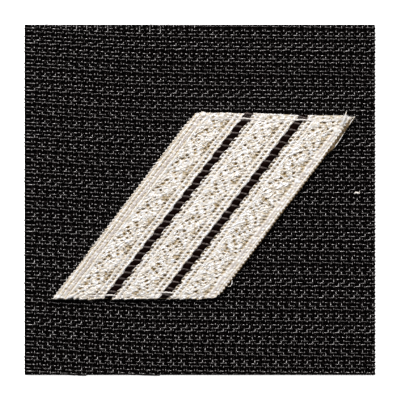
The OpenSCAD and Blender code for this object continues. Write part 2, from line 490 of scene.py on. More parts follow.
def makeClothGround(spec):
    # height = middle + rise + wave cos(2 pi (v + ribFall(u)) / pick)
    edge = cloth["half"] - spec["inset"]
    u, v = np.meshgrid(np.linspace(-edge - spec["proud"], edge, spec["points"]),
                       np.linspace(-edge, edge + spec["proud"], spec["points"]))
    wave = spec["wave"] * np.cos(2 * math.pi * (v + ribFall(u)) / cloth["pickAtTop"])
    top = np.stack([u, v, cloth["middleZ"] + spec["rise"] + wave], axis=-1)
    part = pad(top, cloth["middleZ"] - spec["under"], np.stack([u, v], axis=-1), np.zeros_like(u))
    return addPiece("clothGround", part, darkGround)


clothYarns = makeYarns(cloth)
clothGround = makeClothGround(clothFelt)
print("cloth made")


# The braid: its places are counted across from its left edge and along from its middle

braid = {
    "angle": 52.5,
    "middle": (0.6, -0.9),
    "width": 18.4,
    "cutAbove": 13.36, "cutBelow": 13.28, "cutFall": 1.37,
    "bottom": 0.95,  # height of its underside
    "pick": 0.5675,  # pitch of its weft
    "repeat": 4.54,  # eight picks make one zigzag
    "risePoints": 400, "riseBlend": 15,  # the weft's rise is smoothed over so many of these points
}
# How far the weft threads have risen by each place across the braid: place, rise
weftRise = np.array([
    (0.0, -4.7), (1.35, -4.2), (2.0, -3.7), (4.47, 0.36), (5.14, 0.98), (6.28, 1.78), (6.97, 2.24),
    (7.54, 2.78), (10.73, 7.49), (11.42, 8.12), (12.49, 8.82), (13.27, 9.28), (13.91, 9.90),
    (16.95, 14.4), (18.4, 14.9),
])
# Hollows where a float dives: half length, half width, depth, tilt in degrees
hollowKinds = {
    "small": (0.13, 0.11, 0.22, 60),
    "plain": (0.15, 0.115, 0.22, 55),
    "faint": (0.15, 0.115, 0.12, 60),
    "long": (0.25, 0.11, 0.22, 52),
    "wide": (0.21, 0.15, 0.20, 40),
    "level": (0.23, 0.115, 0.22, 20),
    "dark": (0.18, 0.14, 0.30, 50),
}
# A stripe's places are counted across from its start, and its heights along from the braid's middle.
# Its surface begins "grow" before the start, and "leftOf" names the band at its right side.
leftStripe = {
    "start": 0.0, "width": 5.83, "grow": 0.1, "leftOf": "left",
    # how far an outer side strays outwards from its line: height, how far
    "leftSide": ((-19, -0.1), (-18.4, -0.21), (-16.5, -0.2), (-15, -0.1), (-8, -0.09), (0, -0.06),
                 (7.6, -0.02), (8.4, -0.13), (9.6, -0.26), (10.1, -0.4)),
    # place, radius, crest height, how far its beads stand out, most painted shade (below 0: painted satin
    # reflection)
    "cords": ((0.04, 0.16, 0.62, 0.02, 0.85), (0.5, 0.19, 0.65, 0.02, 0.4),
              (1.12, 0.32, 0.63, 0.004, -0.9), (1.68, 0.26, 0.67, 0.02, 0.1),
              (4.83, 0.19, 0.68, 0.05, 0.0), (5.59, 0.21, 0.69, 0.05, 0.0)),
    # grooves with a pit at each weft thread: place, depth, half width, height of a pit, groove's painted
    # shade
    "columns": ((0.28, 0.08, 0.08, 0.20, 0.6), (0.79, 0.06, 0.08, 0.12, 0.9),
                (1.46, 0.09, 0.09, 0.3, 0.9),
                (4.55, 0.30, 0.15, 0.28, 0.35), (5.24, 0.24, 0.12, 0.35, 0.25)),
    "field": (1.9, 4.3),  # the crumbly part, from place to place
    # place, height, kind, once in each repeat of the zigzag
    "hollows": (
        (2.78, 4.27, "dark"), (3.22, 4.17, "plain"), (3.72, 4.03, "faint"), (3.27, 3.38, "faint"),
        (2.62, 3.50, "long"), (2.32, 2.65, "long"), (2.92, 2.58, "plain"), (2.07, 1.88, "small"),
        (2.52, 1.78, "faint"), (2.92, 1.30, "long"), (3.30, 1.07, "wide"), (3.60, 0.68, "wide"),
        (4.07, 0.30, "faint"), (2.17, 0.68, "faint"), (2.42, 0.12, "long"),
    ),
    # place, height, half length, half width, tilt in degrees, strength: above 0 lying low with painted tan
    # shade, and below 0 smooth and bright
    "shades": (
        (4.47, 2.2, 1.3, 0.22, 88, 0.8), (4.1, 1.85, 0.35, 0.2, 70, 0.35),
        (4.0, 2.35, 0.5, 0.3, 70, 0.45), (2.65, 3.95, 0.55, 0.25, 65, 0.38),
        (2.35, 3.1, 0.6, 0.15, 68, 0.22), (2.15, 2.4, 0.4, 0.12, 70, 0.12),
        (3.2, 1.1, 0.6, 0.16, -42, 0.1), (2.9, 4.3, 0.5, 0.14, -20, 0.3),
        (4.52, 3.7, 0.4, 0.13, 90, 0.3), (3.45, 3.0, 0.8, 0.25, 62, -0.8),
        (2.3, 1.3, 0.5, 0.35, 75, -0.6), (3.9, 3.9, 0.4, 0.25, 60, -0.7), (2.9, 0.6, 0.5, 0.2, -35, -0.6),
        (2.85, 2.0, 0.4, 0.2, 60, -0.7), (4.3, 0.2, 0.5, 0.4, 80, -0.8),
        (0.08, 1.1, 1.6, 0.14, 90, 0.25), (0.08, 3.4, 1.6, 0.14, 90, 0.25),
    ),
}
middleStripe = {
    "start": 6.85, "width": 5.23, "grow": 0.2, "leftOf": "right",
    "cords": ((0.4, 0.2, 0.66, 0.05, 0.0), (1.02, 0.2, 0.64, 0.05, 0.0),
              (4.27, 0.19, 0.66, 0.05, 0.0), (4.96, 0.2, 0.69, 0.05, 0.05)),
    "columns": ((0.12, 0.38, 0.15, 0.50, 0.2), (0.75, 0.25, 0.12, 0.48, 0.3),
                (3.90, 0.30, 0.16, 0.11, 0.4), (4.62, 0.25, 0.13, 0.14, 0.25)),
    "field": (1.2, 3.7),
    "hollows": (
        (1.52, 3.82, "faint"), (1.87, 3.50, "plain"), (2.24, 3.05, "dark"), (2.72, 2.87, "plain"),
        (3.17, 2.77, "plain"), (2.15, 2.10, "level"), (2.77, 2.02, "plain"), (1.68, 1.33, "long"),
        (1.68, 1.33, "small"), (2.33, 1.27, "plain"), (1.47, 0.60, "plain"), (1.87, 0.48, "small"),
        (2.30, 0.07, "long"), (2.77, 4.30, "plain"), (3.10, 3.88, "plain"), (3.50, 3.52, "faint"),
    ),
    "shades": (
        (3.82, 1.2, 1.0, 0.22, 88, 0.65), (3.45, 1.0, 0.45, 0.3, 60, 0.5), (2.1, 2.5, 0.55, 0.3, 75, 0.4),
        (1.8, 3.3, 0.35, 0.2, -30, 0.4), (3.97, 2.4, 0.3, 0.15, 90, 0.3), (2.9, 2.9, 0.4, 0.12, -15, 0.1),
        (2.75, 1.2, 0.8, 0.25, 65, -0.8), (1.2, 2.2, 1.2, 0.2, 90, -0.8), (3.3, 3.2, 0.4, 0.25, 60, -0.7),
        (2.2, 3.9, 0.5, 0.3, 70, -0.7), (1.4, 4.5, 0.5, 0.25, 60, -0.5), (3.95, 3.5, 0.4, 0.25, 90, -0.7),
        (3.15, 2.2, 0.4, 0.2, 70, -0.6), (3.66, 3.5, 0.8, 0.15, 88, -0.8),
        (2.15, 3.35, 0.25, 0.2, 60, -0.6), (2.15, 0.9, 0.3, 0.2, 60, -0.6),
        (1.8, 1.9, 0.3, 0.2, 60, 0.35),
    ),
}
rightStripe = {
    "start": 13.05, "width": 5.45, "grow": 0.06,
    "rightSide": ((-10, -0.7), (-9.5, -0.1), (-9, 0.02), (-8, 0.18), (-5, 0.16), (2, 0.12),
                  (5, 0.03), (15, 0.02), (17, -0.08), (20, -0.22), (22, -0.34), (23, -0.15)),
    "cords": ((0.52, 0.2, 0.66, 0.05, 0.0), (1.2, 0.2, 0.64, 0.05, 0.0),
              (4.56, 0.38, 0.63, 0.004, -0.9), (5.22, 0.22, 0.63, 0.04, 0.5)),
    "columns": ((0.18, 0.38, 0.16, 0.16, 0.25), (0.90, 0.25, 0.13, 0.17, 0.3),
                (4.04, 0.16, 0.14, 0.22, 0.35), (4.99, 0.05, 0.07, 0.1, 0.5)),
    "field": (1.4, 3.8),
    "hollows": (
        (1.67, 3.72, "level"), (2.17, 3.67, "small"), (2.62, 3.20, "wide"), (3.10, 3.00, "plain"),
        (3.42, 2.52, "dark"), (3.77, 2.07, "level"), (1.72, 2.50, "faint"), (2.02, 2.12, "wide"),
        (2.50, 1.68, "dark"), (2.95, 1.50, "faint"), (3.42, 1.30, "plain"), (2.45, 0.73, "level"),
        (2.45, 0.73, "faint"), (3.00, 0.60, "plain"), (1.97, 4.50, "level"), (2.62, 4.37, "plain"),
        (4.22, 2.65, "plain"), (4.07, 1.42, "faint"), (1.25, 3.00, "faint"),
    ),
    "shades": (
        (4.02, 4.55, 1.1, 0.22, 88, 0.85), (3.6, 4.25, 0.5, 0.25, 50, 0.4),
        (4.15, 3.25, 0.4, 0.18, 90, 0.6),
        (2.25, 1.6, 0.5, 0.28, 65, 0.5), (2.35, 1.0, 0.4, 0.2, 60, 0.3), (2.6, 3.25, 0.5, 0.2, -30, 0.35),
        (1.9, 0.1, 0.4, 0.2, 20, 0.35), (3.75, 3.7, 0.35, 0.2, 55, 0.35),
        (2.8, 2.88, 0.3, 0.18, -20, 0.45),
        (2.65, 1.45, 0.35, 0.18, 60, 0.3), (3.15, 1.45, 0.35, 0.2, 60, 0.4),
        (1.6, 3.2, 0.5, 0.35, 60, -0.7), (1.35, 1.2, 1.1, 0.25, 90, -0.9),
        (3.1, 0.1, 0.5, 0.2, 70, -0.7), (3.2, 2.0, 0.6, 0.2, -20, -0.8), (4.1, 2.1, 0.5, 0.3, 90, -0.9),
        (2.5, 2.5, 0.4, 0.25, 60, -0.7), (3.6, 3.2, 0.4, 0.15, 65, -0.6), (2.4, 4.0, 0.3, 0.2, 60, -0.5),
        (5.38, 1.1, 1.6, 0.12, 90, 0.25), (5.38, 3.4, 1.6, 0.12, 90, 0.25),
    ),
}
stripes = {"left": leftStripe, "middle": middleStripe, "right": rightStripe}


def onCloth(across, along, height):
    # x = middle + q sin(angle) + along cos(angle), y = middle - q cos(angle) + along sin(angle),
    # with q = across - width / 2
    a = math.radians(braid["angle"])
    q = across - braid["width"] / 2
    return np.stack([
        braid["middle"][0] + q * math.sin(a) + along * math.cos(a),
        braid["middle"][1] - q * math.cos(a) + along * math.sin(a),
        braid["bottom"] + height + 0 * q,
    ], axis=-1)


def cuts(across):
    # the lines y = -cutBelow and y = cutAbove - fall x from the braid's middle, solved for along
    a = math.radians(braid["angle"])
    fall = math.tan(math.radians(braid["cutFall"]))
    q = across - braid["width"] / 2
    lower = (q * math.cos(a) - braid["cutBelow"]) / math.sin(a)
    upper = (braid["cutAbove"] + q * (math.cos(a) - math.sin(a) * fall)) / (math.sin(a) + math.cos(a) * fall)
    return lower, upper


def weftPhase(across, along):
    # phase = (along - the weft's smoothed rise) / pick, a whole number in each furrow
    fine = np.linspace(0, braid["width"], braid["risePoints"])
    rise = np.interp(fine, weftRise[:, 0], weftRise[:, 1])
    kernel = np.hanning(braid["riseBlend"])
    rise = np.pad(rise, braid["riseBlend"] // 2, mode="edge")
    rise = np.convolve(rise, kernel / kernel.sum(), mode="valid")
    return (along - np.interp(across, fine, rise)) / braid["pick"]


silver = {
    "step": 0.05, "rows": 540,  # size of the grid's cells across, and rows along
    "crest": 0.62, "furrow": 0.11,  # height of the threads, depth between them
    # painted shade in the furrows between threads
    "furrowShade": 0.2, "furrowPower": 1.4,  # how dark a furrow is, and how sharply
    # how deep the furrows are in parts of that, how much they differ, the most, and over what length
    "tight": 0.7, "tightSpread": 0.6, "tightMost": 1.7, "tightSpan": 0.6,
    "threadRise": 0.02,  # how unevenly the threads lie
    "strayAcross": (1.1, 0.036), "strayAlong": (0.9, 0.06),  # length and size of the threads' strays
    "fieldEdge": 0.2,  # how far the crumbly field blends into its sides
    "calm": 0.65,  # how much shallower the furrows are in the field
    "lumps": 0.038, "grain": 0.2,  # how uneven the floats are, their size
    # painted shade on the low parts of the lumps
    "dipShade": 0.25, "mottle": 0.9,  # how far that tints them, and breaks up the tan shades
    # tan is painted shade on low zones of the surface
    "tanMost": 0.6, "tanDepth": 0.12,  # the darkest tan, and how low it lies
    "smoothest": 0.9,  # most that a bright shade takes off the furrows and pits
    "uneven": 0.35,  # how much one pit or hollow differs from the next
    "crossings": 0.34, "crossDepth": 0.18, "crossHalf": 0.1,  # pits where threads cross in the field
    "pitStray": 0.04, "pitLean": 0.5, "pitMost": 1.6,  # how far a pit strays and leans, the largest
    # painted shade in the pits
    "pitShade": 1.2, "pitPower": 1.6, "fullDepth": 0.25,  # a pit as deep as this is fully dark
    "grooveDepth": 0.25,  # of the groove between pits, in parts of theirs
    # the charted hollows, painted with shade as pits are: depth in parts of their kind's, the least and most
    # of one
    "charted": 1.2, "chartedSpan": (0.4, 1.5),
    "chartedPower": 1.5, "chartedMost": 1.2, "chartedFull": 0.24,  # as for pits, with a darkest shade
    # painted shade on a cord between its beads and at its sides
    "beadShade": 7, "cordSide": 0.4,  # how much darker a cord is between its beads and at its sides
    # notches of a left side: depth, height above the middle, reach up and down
    "notches": {"middle": (0.19, 1.87, 0.5, 0.95), "right": (0.15, 0.68, 0.5, 0.8)},
    "turnBack": 0.08,  # beads of the outer sides, where the weft threads turn back
    "sideDrop": 0.2, "sideReach": 0.1,  # how far a side turns down, and from how far in
    "sidePower": 4,  # how fast the strays of a side fade inwards
    "skirt": 0.1,  # height of the hem that a notched side leaves under the band
}
# Pits of a column and of a crossing: reach along, mean size, how much it differs, the least
pitKinds = {"column": (0.14, 1.0, silver["uneven"], 0.3), "crossing": (0.12, 0.3, 0.6, 0.0)}


def notch(name, along):
    # depth = size * half of 1 + cos(pi * distance / reach), one notch to every two binding threads
    size, place, up, down = silver["notches"].get(name, (0.0, 0.0, 1.0, 1.0))
    whole = 2 * bind["pitch"]
    d = np.mod(along - place + whole / 2, whole) - whole / 2
    d = np.clip(np.abs(d) / np.where(d > 0, up, down), 0, 1)
    return size * (0.5 + 0.5 * np.cos(math.pi * d))


def repeated(du, dv, tilt):
    # distances along and across a line tilted by so many degrees, and the zigzag's repeat
    number = np.round(dv / braid["repeat"])
    dv = dv - braid["repeat"] * number
    t = math.radians(tilt)
    return du * math.cos(t) + dv * math.sin(t), dv * math.cos(t) - du * math.sin(t), number


def paintedTanShades(spec, u, v):
    # painted tan shade: sum of strength * exp(-(p / long)^2 - (q / short)^2) over the shades
    tan = np.zeros_like(u)
    for place, height, long, short, tilt, strength in spec["shades"]:
        p, q, _ = repeated(u - place, v - height, tilt)
        tan = tan + strength * np.exp(-(p / long) ** 2 - (q / short) ** 2)
    return tan


def silverSurface(spec, across, along):
    # height = crest + rise - furrow gap - tanDepth tan + lumps - pits - hollows, or a cord's height
    # where that is more; hollow = painted shade, as deep or as tan as it is, and below 0 the painted
    # reflection on a satin cord
    s = silver
    local = across - spec["start"]
    level = np.zeros_like(local)
    u = local + smoothField(across, along, *s["strayAcross"])
    v = along + smoothField(across, along, *s["strayAlong"])
    phase = weftPhase(across, v)
    furrow = np.round(phase)
    tight = s["tight"] + smoothField(across / s["tightSpan"], furrow, 1.0, s["tightSpread"])
    away = 2 * np.abs(phase - furrow)  # 0 in the furrow, 1 on the crest of a thread
    gap = (1 - np.sqrt(np.clip(1 - (1 - away) ** 2, 0, 1))) * np.clip(tight, 0, s["tightMost"])
    tan = paintedTanShades(spec, u, v)
    smooth = 1 + np.clip(tan, -s["smoothest"], 0)
    tan = np.clip(tan, 0, 1)
    height = s["crest"] + smoothField(across, np.floor(phase), 1.0, s["threadRise"])
    low, high = spec["field"]
    inField = np.clip((local - low) / s["fieldEdge"], 0, 1)
    inField = inField * np.clip((high + s["fieldEdge"] - local) / s["fieldEdge"], 0, 1)
    gap = gap * smooth * (1 - s["calm"] * inField)
    lumps = smoothField(across, along, s["grain"], 1.0) * inField
    tan = np.clip(tan * np.clip(1 - s["mottle"] * lumps, 0, 2), 0, s["tanMost"])
    height = height - s["furrow"] * gap - s["tanDepth"] * tan + s["lumps"] * lumps
    # painted shade: in the furrows, in the tan zones, and on the low parts of the lumps
    hollow = s["furrowShade"] * gap ** s["furrowPower"] * (1 - tan) + tan
    # painted shade on the low parts of the lumps
    hollow = hollow + s["dipShade"] * np.clip(-lumps, 0, 1)
    # pit = size exp(-((u - place) / half)^2 - ((distance along - lean (u - place)) / reach)^2)
    pits = [(place, depth, half, (v - shift) / braid["pick"], line, "column")
            for place, depth, half, shift, line in spec["columns"]]
    pits += [(place, s["crossDepth"], s["crossHalf"], phase - i % 2 / 2, 0.0, "crossing")
             for i, place in enumerate(np.arange(low, high, s["crossings"]))]
    for place, depth, half, d, line, kind in pits:
        reach, size, uneven, least = pitKinds[kind]
        near = np.exp(-((u - place) / half) ** 2)
        number = np.round(d)
        size = np.clip(size + smoothField(level, number, 1.0, uneven), least, s["pitMost"])
        d = (d - number) * braid["pick"] + smoothField(level, number, 1.0, s["pitStray"])
        pit = near * np.exp(-((d - s["pitLean"] * (u - place)) / reach) ** 2) * size * smooth
        height = height - depth * pit - s["grooveDepth"] * line * depth * near
        # painted shade in the pit, and along the groove that joins the pits
        shade = s["pitShade"] * pit ** s["pitPower"] * min(1.0, depth / s["fullDepth"])
        hollow = np.maximum(hollow, np.maximum(shade, line * near))
    # hollow of the chart = size exp(-(p / long)^2 - (q / short)^2)
    for place, up, kind in spec["hollows"]:
        long, short, depth, tilt = hollowKinds[kind]
        p, q, number = repeated(u - place, v - up, tilt)
        size = np.clip(1 + smoothField(level, number, 1.0, s["uneven"]), *s["chartedSpan"])
        pit = np.exp(-(p / long) ** 2 - (q / short) ** 2) * size * s["charted"]
        height = height - depth * pit
        # painted shade in the charted hollow
        shade = s["pitShade"] * pit ** s["chartedPower"] * min(s["chartedMost"], depth / s["chartedFull"])
        hollow = np.maximum(hollow, shade)
    # cord = crest - beads gap - radius (1 - sqrt(1 - d^2)), with d = distance from its line / radius
    for place, radius, crest, beads, shade in spec["cords"]:
        d = np.clip(np.abs(u - place) / radius, 0, 1)
        cord = crest - beads * gap - radius * (1 - np.sqrt(1 - d * d))
        over = (d < 1) & (cord > height)
        # painted shade on the cord, capped by its own shade; below 0 the painted satin reflection
        shade = shade + s["beadShade"] * beads * gap + s["cordSide"] * d ** 4
        hollow = np.where(over, np.minimum(hollow, shade), hollow)
        height = np.where(over, cord, height)
    return height, hollow


def strays(spec, side, across, along):
    # an outer side lies its own line - turnBack cos(2 pi phase) out, and one beside a band
    # short cos(2 pi turns) + long cos(pi (turns - top)), with turns = the binding threads up to there
    if side in spec:
        v, shift = np.array(spec[side]).T
        bead = silver["turnBack"] * np.cos(2 * math.pi * weftPhase(across, along))
        return np.interp(along, v, shift) - bead
    if side == "leftSide":
        return 0 * along
    band = bands[spec["leftOf"]]
    turns = (along - band["shift"] + band["slant"] * band["width"] / 2) / bind["pitch"]
    short, long, top = band["waves"]
    return short * np.cos(2 * math.pi * turns) + long * np.cos(math.pi * (turns - top))


# White thread sewn across both ends of the braid, as points on the patch from left to right
sewing = {
    "radius": 0.14, "sides": 8, "steps": 8, "stray": 0.01,
    "flat": 0.8, "backFlat": 0.7,  # how thick it is up and down, in parts of its width
    "press": 0.05, "pressReach": 0.3,  # how deep and how wide a dent it makes
    # heights on the patch over the silver, over a band, at its ends and on the back
    "height": {"upper": 1.46, "lower": 1.41}, "overBand": 1.6, "bandReach": 0.8,
    "endHeight": 1.35, "backHeight": 0.12, "backWave": 0.03,
    "dips": {"upper": 0.06, "lower": 0.17}, "stitch": 2.6,  # how far it sinks in, and how often
    "upper": ((-0.5, 11.6), (1.7, 11.49), (3.6, 11.52), (6.0, 11.62), (7.15, 11.53), (8.3, 11.38),
              (10.7, 11.16), (12.8, 11.3), (14.3, 11.44), (15.4, 11.34), (17.4, 11.2), (19.4, 11.34),
              (20.5, 11.6)),
    "lower": ((-19.6, -13.75), (-16.4, -13.75), (-13.6, -13.6), (-12.7, -13.56), (-11.7, -13.66),
              (-9.3, -13.7), (-7.1, -13.5), (-5.3, -13.19), (-4.1, -13.24), (-1.4, -13.56), (1.4, -13.63)),
}


def sewnDent(place):
    # depth = press * exp(-(distance from the sewing thread / pressReach)^2)
    dent = 0
    for end in ("upper", "lower"):
        x, y = np.array(sewing[end]).T
        away = place[..., 1] - np.interp(place[..., 0], x, y)
        near = np.exp(-(away / sewing["pressReach"]) ** 2)
        dent = dent + sewing["press"] * np.where((place[..., 0] > x[0]) & (place[..., 0] < x[-1]), near, 0)
    return dent


def upBraid(lower, upper, rows):
    # along = lower + t (upper - lower), with t from 0 to 1 over the rows
    return lower + np.linspace(0, 1, rows)[:, None] * (upper - lower)


def braidPad(across, along, height, hollow, sink=0.0):
    top = onCloth(across, along, height)
    return pad(top, braid["bottom"] - sink, np.stack([across, along], axis=-1), hollow)


# The cut ends of the silver threads
frayed = {
    "reach": 0.7, "share": 0.45, "full": 1.3,  # how far in and how much the threads are loose
    # the puffs' shade is painted shade between them
    "puffs": 0.12, "every": 0.34, "stretch": 0.8, "shade": 0.4,  # height, size and shade of their puffs
    "sink": 0.05,  # how far below the crest they lie
    "ragged": 0.1,  # how unevenly they are cut
    "endDrop": 0.25, "endReach": 0.2,  # how far they turn down at the very end
}


def makeStripe(name, spec):
    # across = start + t width + the sides' strays, fading inwards as (1 - t)^4 and t^4; both sides
    # turn down, and in a notch the surface drops to a low hem under the band
    s = silver
    start, far = spec["start"] - spec["grow"], spec["start"] + spec["width"]
    t = np.linspace(0, 1, int((spec["width"] + spec["grow"]) / s["step"]))
    across = np.tile(start + t * (far - start), (s["rows"], 1))
    raggedLow = smoothNoise(across[0], frayed["every"], frayed["ragged"])
    raggedHigh = smoothNoise(across[0], frayed["every"], frayed["ragged"])
    shifts = 0
    for _ in range(2):  # the second time with the cut ends at the moved sides
        lower, upper = cuts(across + shifts)
        lower, upper = lower + raggedLow, upper + raggedHigh
        along = upBraid(lower, upper, s["rows"])
        leftSide = -strays(spec, "leftSide", across, along)
        rightSide = strays(spec, "rightSide", across, along)
        shifts = leftSide * (1 - t) ** s["sidePower"] + rightSide * t ** s["sidePower"]
    across = across + shifts
    height, hollow = silverSurface(spec, across, along)
    side = np.minimum(across - start - leftSide - notch(name, along), far + rightSide - across)
    height = height - s["sideDrop"] * np.clip(1 - side / s["sideReach"], 0, 1) ** 2
    notched = side < -0.001
    height = np.where(notched, s["skirt"], np.clip(height, s["skirt"], None))
    # painted shade: the hem under the band is coloured fully dark
    hollow = np.where(notched, 1.0, np.clip(hollow, -1, 1))
    # cut ends: the threads spread into soft puffs, and the sewing thread presses them down
    end = np.minimum(along - lower, upper - along) * math.sin(math.radians(braid["angle"]))
    loose = frayed["share"] * np.clip(frayed["full"] - end / frayed["reach"], 0, 1) * (side > 0)
    puffs = smoothField(across, along * frayed["stretch"], frayed["every"], 1.0)
    height = height * (1 - loose) + loose * (s["crest"] - frayed["sink"] + frayed["puffs"] * puffs)
    height = height - sewnDent(onCloth(across, along, height)) * (side > s["sideReach"])
    # painted shade between the puffs
    hollow = hollow * (1 - loose) + loose * frayed["shade"] * np.clip(-puffs, 0, 1)
    height = height * (1 - frayed["endDrop"] * np.clip(1 - end / frayed["endReach"], 0, 1) ** 2)
    part = braidPad(across, along, height, hollow)
    piece = addPiece("silverStripe_" + name, part, silverThread)
    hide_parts("stripe_" + name)
    return piece


bands = {
    # the stripe at its right, height of its first binding thread, that thread's rise to the right,
    # which of each two is long, and the waves that they draw in the side of the stripe at the left
    "left": {"start": 5.7, "width": 1.15, "beside": "middle", "shift": 0.64, "slant": 0.60,
             "longOne": 1, "waves": (0.035, 0.075, 0.86)},
    "right": {"start": 12.0, "width": 1.05, "beside": "right", "shift": 0.31, "slant": 0.50,
              "longOne": 0, "waves": (0.03, 0.055, 1.7)},
}
floss = {
    "step": 0.05, "rows": 640,
    "low": 0.36, "high": 0.58,  # height under a binding thread and between two
    "inset": 0.01, "slim": 0.04, "lap": 0.06,  # clear of the stripes, but over a notch's hem
    "short": 0.3, "ragged": (0.2, 0.08),  # how far the lower end stops short, the cut's waves
    "sideDrop": 0.14, "endDrop": 0.1, "endReach": 1.2,  # how far it falls towards its sides and ends
    "strands": (0.5, 0.012), "strandsAcross": 4,  # length and size of its waves, and how slim they are
}
bind = {
    "pitch": 1.14, "radius": 0.15, "flat": 0.6, "points": 9, "sides": 6, "stray": 0.02,
    "long": 0.24, "over": 0.05,  # how far a thread goes into the silver at its right and left
    "from": 0.6,  # no thread lies nearer to the lower cut end
    "bow": 0.05,  # how far its middle lies above its line
    # height of its ends, how far its middle rises, and how far and from where its ends dive
    "height": 0.49, "crown": 0.08, "dive": 0.2, "diveFrom": 0.8, "diveOver": 0.2,
}


def makeBand(name, spec):
    # pad height = low + (high - low) sqrt(1 - (2 p)^2), p = distance from the pad's middle in pitches
    f = floss
    t = np.linspace(0, 1, int(spec["width"] / f["step"]))
    width = spec["width"] - (silver["notches"][spec["beside"]][0] - f["lap"]) - f["slim"]
    across = np.tile(spec["start"] + f["inset"] + t * width, (f["rows"], 1))
    lower, upper = cuts(across)
    lower = lower + f["short"] + smoothNoise(across[0], *f["ragged"])
    upper = upper + smoothNoise(across[0], *f["ragged"])
    along = upBraid(lower, upper, f["rows"])
    across = across + notch(spec["beside"], along) * t ** 2
    middle = spec["start"] + spec["width"] / 2
    p = (along - spec["shift"] - spec["slant"] * (across - middle)) / bind["pitch"]
    p = p - np.floor(p) - 0.5
    height = f["low"] + (f["high"] - f["low"]) * np.sqrt(np.clip(1 - (2 * p) ** 2, 0, 1))
    height = height - f["sideDrop"] * np.abs(2 * t - 1) ** 4
    height = height + smoothField(across * f["strandsAcross"], along, *f["strands"])
    end = np.minimum(along - lower, upper - along)
    height = height - f["endDrop"] * np.clip(f["endReach"] - end, 0, 1)
    part = braidPad(across, along, height, np.zeros_like(across))
    piece = addPiece("blackBand_" + name, part, blackFloss)
    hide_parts("band_" + name)
    makeBinding(name, spec, middle)
    return piece


def makeBinding(name, spec, middle):
    # v = shift + n pitch + slant t reach + bow (1 - t^2), h = height + crown (1 - t^2) - dive,
    # with t from -1 to 1
    b = bind
    lowest, highest = cuts(np.array(middle))
    first = math.ceil((lowest + b["from"] - spec["shift"]) / b["pitch"])
    last = math.floor((highest - spec["shift"]) / b["pitch"])
    t = np.linspace(-1, 1, b["points"])
    dive = b["dive"] * np.clip(np.abs(t) - b["diveFrom"], 0, 1) / b["diveOver"]
    threads = []
    for n in range(first, last + 1):
        rightEnd = b["long"] if n % 2 == spec["longOne"] else 0.0
        reach = spec["width"] / 2 + np.where(t > 0, rightEnd, b["over"])
        v = spec["shift"] + n * b["pitch"] + spec["slant"] * t * reach
        v = v + b["bow"] * (1 - t * t) + rng.normal(0, b["stray"])
        h = b["height"] + b["crown"] * (1 - t * t) - dive
        path = onCloth(middle + t * reach, v, h)
        threads.append(tube(path, b["radius"], b["flat"] * b["radius"], b["sides"]))
    addPiece("bindingThreads_" + name, joined(threads), bindingThread)


def makeSewing(s):
    # each end: z = its height over the silver less dips sin^2, or overBand over a band
    parts = []
    a = math.radians(braid["angle"])
    for end in ("upper", "lower"):
        path = curve(s[end], s["steps"])
        q = (path[:, 0] - braid["middle"][0]) * math.sin(a) - (path[:, 1] - braid["middle"][1]) * math.cos(a)
        u = q + braid["width"] / 2
        band = sum(np.exp(-((u - one["start"] - one["width"] / 2) / s["bandReach"]) ** 4)
                   for one in bands.values())
        dips = s["dips"][end] * np.sin(math.pi * path[:, 0] / s["stitch"]) ** 2
        level = s["height"][end]
        z = level - dips * (1 - band) + (s["overBand"] - level) * band
        z[0] = z[-1] = s["endHeight"]
        path = path + rng.normal(0, s["stray"], path.shape)
        parts.append(tube(np.column_stack([path, z]), s["radius"], s["flat"] * s["radius"], s["sides"]))
        # its bobbin thread on the back bulges between the stitches
        z = s["backHeight"] + s["backWave"] * np.cos(2 * math.pi * path[:, 0] / s["stitch"])
        parts.append(tube(np.column_stack([path, z]), s["radius"], s["backFlat"] * s["radius"], s["sides"]))
    return addPiece("sewingThread", joined(parts), whiteThread)


# Loose threads: points (across, along and above the braid's underside), radius at start and end
looseThreads = {
    "outerEdge": (((18.55, 17.1, 0.25), (18.78, 17.5, 0.42), (18.8, 18.5, 0.5), (18.74, 19.5, 0.5),
                   (18.6, 20.6, 0.47), (18.5, 22.0, 0.5), (18.46, 22.8, 0.58), (18.45, 23.25, 0.65)),
                  (0.075, 0.085)),
    "tuft": (((17.7, 21.1, 0.5), (17.5, 21.9, 0.78), (17.28, 22.5, 0.92), (17.02, 23.1, 1.0)), (0.3, 0.06)),
    "tuftSide": (((17.85, 21.6, 0.55), (17.6, 22.1, 0.7), (17.42, 22.7, 0.8)), (0.2, 0.05)),
    "loop": (((18.5, -5.9, 0.4), (18.8, -6.0, 0.52), (19.05, -6.35, 0.58), (19.07, -6.8, 0.52),
              (18.7, -7.1, 0.3)), (0.08, 0.08)),
}
# A fleck of lint on the cloth, at places on the patch
lint = {"points": ((22.05, 0.92, 0.95), (22.25, 1.05, 1.05), (22.5, 1.0, 1.1), (22.75, 0.98, 1.0)),
        "radius": 0.17, "flat": 0.8, "steps": 5}
looseMesh = {"steps": 6, "sides": 7}


def makeLoose():
    parts = []
    for points, (first, last) in looseThreads.values():
        path = curve(points, looseMesh["steps"])
        r = np.linspace(first, last, len(path))
        parts.append(tube(onCloth(path[:, 0], path[:, 1], path[:, 2]), r, r, looseMesh["sides"]))
    path = curve(lint["points"], lint["steps"])
    parts.append(tube(path, lint["radius"], lint["radius"] * lint["flat"], looseMesh["sides"]))
    return addPiece("looseThreads", joined(parts), silverThread)


# A brown thread along the braid's right edge, thicker above one height; its brown is painted shade
# on the edge's outer side
fringe = {
    "from": -8.6, "to": 22.7, "step": 0.12, "radius": 0.12, "height": 0.48, "out": -0.01,
    "extra": 0.17, "above": 16.5, "beads": 0.15, "sides": 7,
    "sway": (0.4, 0.02), "heave": (0.5, 0.04),
}


